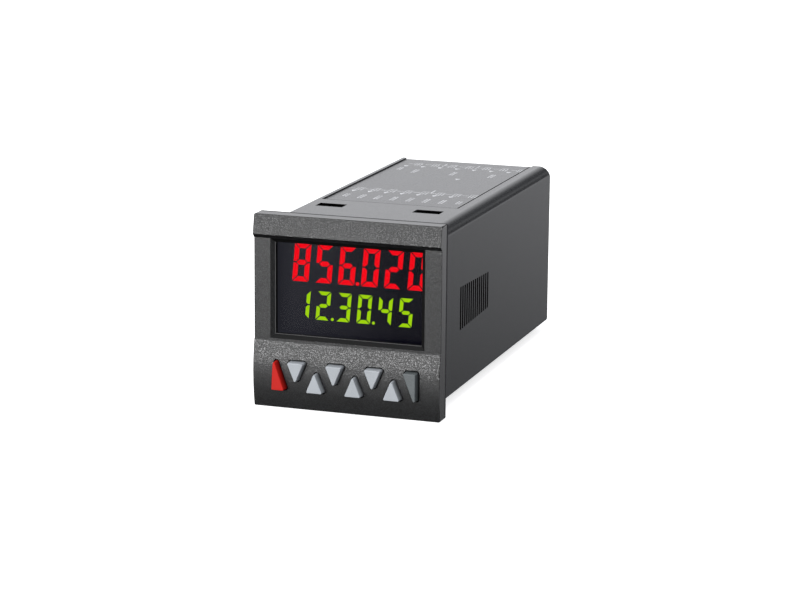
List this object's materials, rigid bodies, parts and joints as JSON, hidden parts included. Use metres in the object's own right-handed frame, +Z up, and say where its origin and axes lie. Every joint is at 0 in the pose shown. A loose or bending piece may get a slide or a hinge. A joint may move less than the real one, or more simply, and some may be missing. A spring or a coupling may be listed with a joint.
{
  "type": "electronic preset counter",
  "caption": "Square panel counter with a recessed two-row lit display, triangular push keys, a long vented housing and screw terminal plugs at the rear.",
  "frame": {"origin": "centre of the panel's front surface, on which the rear of the gasket seats", "axes": "+X to the right seen from the front, +Y to the rear along the housing, +Z up"},
  "size_m": [0.048, 0.1136, 0.048],
  "materials": {
    "bezel_plastic": "coarse spark-eroded grain",
    "gasket_rubber": "matt",
    "window_acrylic": "polished, smoke tinted",
    "display_black": "dark, polished",
    "red_segments": "lit",
    "green_segments": "lit",
    "guide_white": "milky",
    "frame_black": "fine grain",
    "board_green": "solder mask",
    "screw_steel": "zinc plated",
    "mat_silicone": "matt",
    "key_red": "satin",
    "key_grey": "satin",
    "key_dark": "satin",
    "housing_plastic": "fine grain",
    "label_film": "printed film",
    "contact_brass": "tin flashed",
    "chip_black": "moulded",
    "can_steel": "drawn",
    "coupler_white": "moulded",
    "relay_blue": "moulded",
    "core_ferrite": "ground",
    "coil_tape": "taped",
    "capacitor_sleeve": "shrunk sleeve",
    "fuse_ceramic": "plain",
    "terminal_plastic": "moulded"
  },
  "bodies": {
    "counter": {"front_bezel": "bezel_plastic", "panel_gasket": "gasket_rubber", "display_window": "window_acrylic", "display_glass": "display_black", "upper_digits": "red_segments", "lower_digits": "green_segments", "light_guide": "guide_white", "display_frame": "frame_black", "front_board": "board_green", "board_screws": "screw_steel", "key_mat": "mat_silicone", "housing": "housing_plastic", "wiring_label": "label_film", "supply_board": "board_green", "control_board": "board_green", "link_strip_upper": "frame_black", "link_strip_lower": "frame_black", "link_pins": "contact_brass", "control_chip": "chip_black", "crystal_can": "can_steel", "input_couplers": "coupler_white", "output_relay_left": "relay_blue", "output_relay_right": "relay_blue", "transformer_core": "core_ferrite", "transformer_coil": "coil_tape", "reservoir_capacitor": "capacitor_sleeve", "supply_fuse": "fuse_ceramic", "terminal_header_upper": "terminal_plastic", "terminal_header_lower": "terminal_plastic", "header_pins": "contact_brass", "terminal_plug_upper": "terminal_plastic", "terminal_plug_lower": "terminal_plastic", "terminal_screws_upper": "screw_steel", "terminal_screws_lower": "screw_steel", "wire_clamps_upper": "contact_brass", "wire_clamps_lower": "contact_brass"},
    "reset_key_body": {"reset_key": "key_red"},
    "down_key_1_body": {"down_key_1": "key_grey"},
    "up_key_1_body": {"up_key_1": "key_grey"},
    "down_key_2_body": {"down_key_2": "key_grey"},
    "up_key_2_body": {"up_key_2": "key_grey"},
    "down_key_3_body": {"down_key_3": "key_grey"},
    "up_key_3_body": {"up_key_3": "key_grey"},
    "mode_key_body": {"mode_key": "key_dark"}
  },
  "joints": [
    {"name": "reset_key_press", "type": "slide", "parent": "counter", "child": "reset_key_body", "axis": [0, 1, 0], "range_m": [0, 0.0008], "stiffness_N_per_m": 400, "springref_m": -0.001, "deforming": ["key_mat"]},
    {"name": "down_key_1_press", "type": "slide", "parent": "counter", "child": "down_key_1_body", "axis": [0, 1, 0], "range_m": [0, 0.0008], "stiffness_N_per_m": 400, "springref_m": -0.001, "deforming": ["key_mat"]},
    {"name": "up_key_1_press", "type": "slide", "parent": "counter", "child": "up_key_1_body", "axis": [0, 1, 0], "range_m": [0, 0.0008], "stiffness_N_per_m": 400, "springref_m": -0.001, "deforming": ["key_mat"]},
    {"name": "down_key_2_press", "type": "slide", "parent": "counter", "child": "down_key_2_body", "axis": [0, 1, 0], "range_m": [0, 0.0008], "stiffness_N_per_m": 400, "springref_m": -0.001, "deforming": ["key_mat"]},
    {"name": "up_key_2_press", "type": "slide", "parent": "counter", "child": "up_key_2_body", "axis": [0, 1, 0], "range_m": [0, 0.0008], "stiffness_N_per_m": 400, "springref_m": -0.001, "deforming": ["key_mat"]},
    {"name": "down_key_3_press", "type": "slide", "parent": "counter", "child": "down_key_3_body", "axis": [0, 1, 0], "range_m": [0, 0.0008], "stiffness_N_per_m": 400, "springref_m": -0.001, "deforming": ["key_mat"]},
    {"name": "up_key_3_press", "type": "slide", "parent": "counter", "child": "up_key_3_body", "axis": [0, 1, 0], "range_m": [0, 0.0008], "stiffness_N_per_m": 400, "springref_m": -0.001, "deforming": ["key_mat"]},
    {"name": "mode_key_press", "type": "slide", "parent": "counter", "child": "mode_key_body", "axis": [0, 1, 0], "range_m": [0, 0.0008], "stiffness_N_per_m": 400, "springref_m": -0.001, "deforming": ["key_mat"]}
  ]
}
